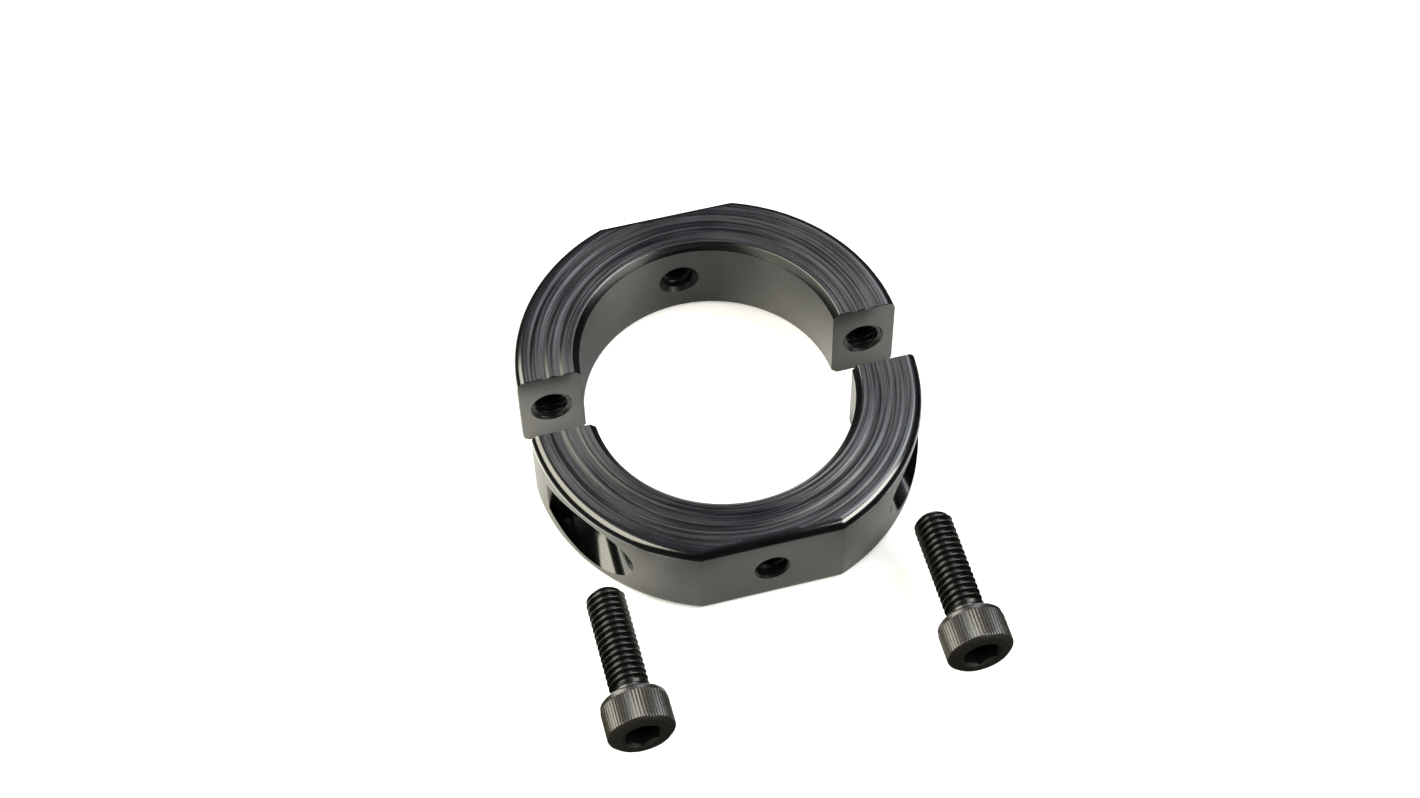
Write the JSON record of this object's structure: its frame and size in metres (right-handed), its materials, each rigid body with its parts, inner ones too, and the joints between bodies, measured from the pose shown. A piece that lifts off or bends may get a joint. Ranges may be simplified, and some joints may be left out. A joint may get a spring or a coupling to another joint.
{
  "type": "shaft collar",
  "caption": "Split shaft collar: matching steel halves that socket head screws draw together round a plain shaft, each with a milled flat and a tapped cross hole.",
  "frame": {"origin": "middle of the rear half's bore axis, half way along the collar's width", "axes": "+Z along the bore axis; +Y from the front half to the rear half, along the clamp screws, tip first; +X to the right when the collar is seen from the front half"},
  "size_m": [0.06, 0.086, 0.015],
  "materials": {
    "collar_steel": "black oxide over turned and milled steel, satin",
    "screw_steel": "black oxide, lightly worn on the knurl"
  },
  "bodies": {
    "rear_half": {"rear_half": "collar_steel"},
    "front_half": {"front_half": "collar_steel"},
    "left_clamp_screw": {"left_clamp_screw": "screw_steel"},
    "right_clamp_screw": {"right_clamp_screw": "screw_steel"}
  },
  "joints": [
    {"name": "close_slide", "type": "slide", "parent": "rear_half", "child": "front_half", "axis": [0, 1, 0], "range_m": [0, 0.008]},
    {"name": "left_screw_drive", "type": "slide", "parent": "front_half", "child": "left_clamp_screw", "axis": [0, 1, 0], "range_m": [0, 0.037]},
    {"name": "right_screw_drive", "type": "slide", "parent": "front_half", "child": "right_clamp_screw", "axis": [0, 1, 0], "range_m": [0, 0.037]}
  ]
}
